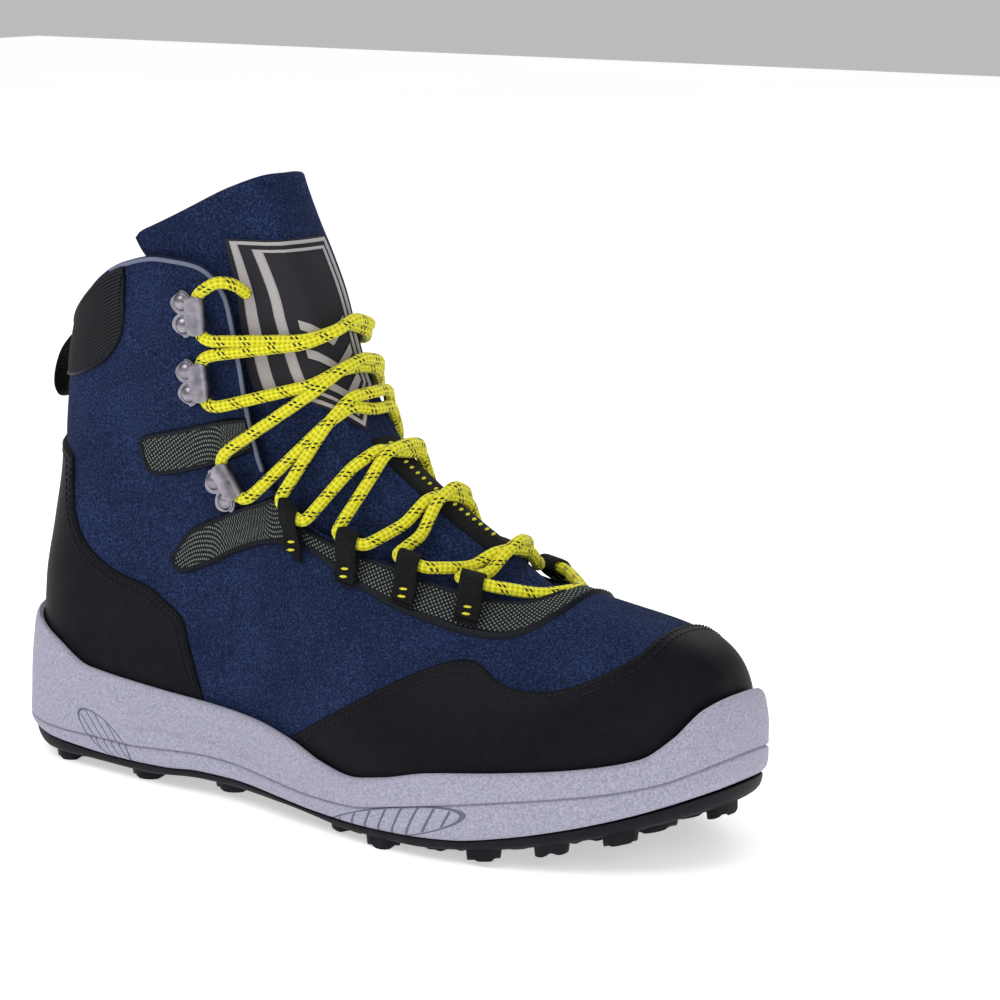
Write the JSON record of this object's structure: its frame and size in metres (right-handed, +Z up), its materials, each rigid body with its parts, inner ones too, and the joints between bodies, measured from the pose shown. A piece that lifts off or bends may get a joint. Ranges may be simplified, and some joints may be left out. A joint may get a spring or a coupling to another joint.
{
  "type": "boot",
  "caption": "Right wading boot with a lugged rubber outsole, foam cup midsole, navy textile upper, tongue and yellow laces, standing empty.",
  "frame": {"origin": "middle of the boot's footprint on the floor", "axes": "+X towards the toe, +Y towards the inner side of the right foot, +Z up"},
  "size_m": [0.3121, 0.1254, 0.227],
  "materials": {
    "navy_textile": "heathered navy woven textile",
    "black_synthetic": "matt black synthetic leather",
    "grey_mesh": "dark grey ribbed mesh",
    "midsole_foam": "speckled grey-lilac foam",
    "outsole_rubber": "matt near-black rubber",
    "pewter_metal": "satin pewter",
    "yellow_cord": "round braided yellow cord with dark flecks",
    "yellow_rubber": "satin yellow rubber",
    "black_webbing": "narrow black webbing",
    "badge_rubber": "soft moulded badge, dark with light lines",
    "lining": "grey lining textile"
  },
  "bodies": {
    "root": {"ankle_band_lateral": "grey_mesh", "ankle_band_medial": "grey_mesh", "collar_panel": "grey_mesh", "eyestay_lateral": "grey_mesh", "eyestay_medial": "grey_mesh", "heel_counter": "black_synthetic", "hook_1_lateral": "pewter_metal", "hook_1_medial": "pewter_metal", "hook_1_rivet_1_lateral": "pewter_metal", "hook_1_rivet_1_medial": "pewter_metal", "hook_1_rivet_2_lateral": "pewter_metal", "hook_1_rivet_2_medial": "pewter_metal", "hook_2_lateral": "pewter_metal", "hook_2_medial": "pewter_metal", "hook_2_rivet_1_lateral": "pewter_metal", "hook_2_rivet_1_medial": "pewter_metal", "hook_2_rivet_2_lateral": "pewter_metal", "hook_2_rivet_2_medial": "pewter_metal", "hook_3_lateral": "pewter_metal", "hook_3_medial": "pewter_metal", "hook_3_rivet_1_lateral": "pewter_metal", "hook_3_rivet_1_medial": "pewter_metal", "hook_3_rivet_2_lateral": "pewter_metal", "hook_3_rivet_2_medial": "pewter_metal", "insole": "lining", "lace_bar": "yellow_cord", "lace_cross_1": "yellow_cord", "lace_cross_2": "yellow_cord", "lace_cross_3": "yellow_cord", "lace_cross_4": "yellow_cord", "lace_cross_5": "yellow_cord", "lace_cross_6": "yellow_cord", "lace_keeper": "black_webbing", "lace_loop_1_lateral": "black_webbing", "lace_loop_1_medial": "black_webbing", "lace_loop_2_lateral": "black_webbing", "lace_loop_2_medial": "black_webbing", "lace_loop_3_lateral": "black_webbing", "lace_loop_3_medial": "black_webbing", "lace_loop_4_lateral": "black_webbing", "lace_loop_4_medial": "black_webbing", "midsole": "midsole_foam", "outsole": "outsole_rubber", "pull_loop": "black_webbing", "sole_plate": "yellow_rubber", "toe_rand": "black_synthetic", "tongue": "navy_textile", "tongue_badge": "badge_rubber", "upper": "navy_textile"}
  },
  "joints": []
}
